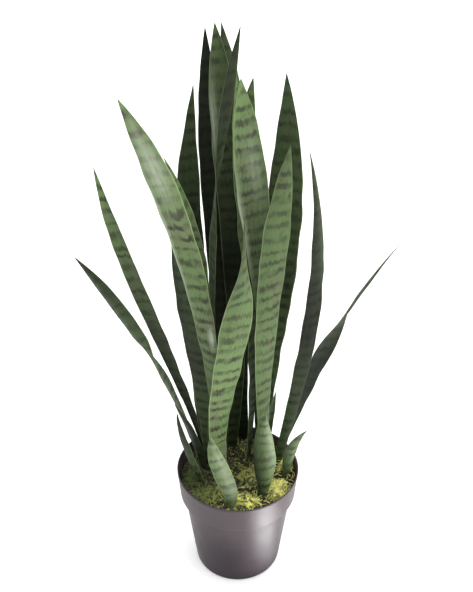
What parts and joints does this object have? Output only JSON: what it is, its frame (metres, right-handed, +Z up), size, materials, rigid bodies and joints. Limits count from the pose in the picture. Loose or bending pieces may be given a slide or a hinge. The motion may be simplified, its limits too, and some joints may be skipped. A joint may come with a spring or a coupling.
{
  "type": "potted snake plant",
  "caption": "Potted snake plant with upright banded sword leaves in a round nursery pot with a stepped collar, its soil dressed with moss tufts; a floor or table houseplant.",
  "frame": {"origin": "the centre of the pot's foot, on the surface that the pot stands on", "axes": "+Z is up; the side seen first faces -Y; +X is to the right of someone who looks at that side"},
  "size_m": [0.4647, 0.2306, 0.844],
  "materials": {
    "pot_plastic": "satin warm grey moulded plastic",
    "potting_mix": "dark crumbly bark and peat mix",
    "moss": "fibrous yellow-green moss",
    "leaf_pale": "waxy sage green with darker cross bands and a pale edge",
    "leaf_deep": "waxy dark green with near-black cross bands"
  },
  "bodies": {
    "root": {"pot": "pot_plastic", "soil": "potting_mix", "leaf_arching_left": "leaf_deep", "leaf_leaning_left": "leaf_deep", "leaf_broad_left": "leaf_pale", "leaf_second_left": "leaf_pale", "leaf_third_left": "leaf_deep", "leaf_tall_left": "leaf_deep", "leaf_tall_centre": "leaf_deep", "leaf_tall_back": "leaf_deep", "leaf_tall_twisted": "leaf_deep", "leaf_inner": "leaf_deep", "leaf_centre": "leaf_pale", "leaf_behind_centre": "leaf_deep", "leaf_second_right": "leaf_deep", "leaf_broad_right": "leaf_pale", "leaf_leaning_right": "leaf_deep", "leaf_arching_right": "leaf_deep", "leaf_front": "leaf_pale", "leaf_back_left": "leaf_deep", "leaf_short_front_left": "leaf_pale", "leaf_short_front_right": "leaf_pale", "leaf_short_right": "leaf_pale", "leaf_short_back_left": "leaf_deep", "leaf_short_inner": "leaf_deep", "leaf_short_left": "leaf_deep", "moss_front_left": "moss", "moss_front": "moss", "moss_front_right": "moss", "moss_right": "moss", "moss_centre": "moss", "moss_left": "moss", "moss_inner_left": "moss", "moss_back_left": "moss", "moss_back": "moss"}
  },
  "joints": []
}
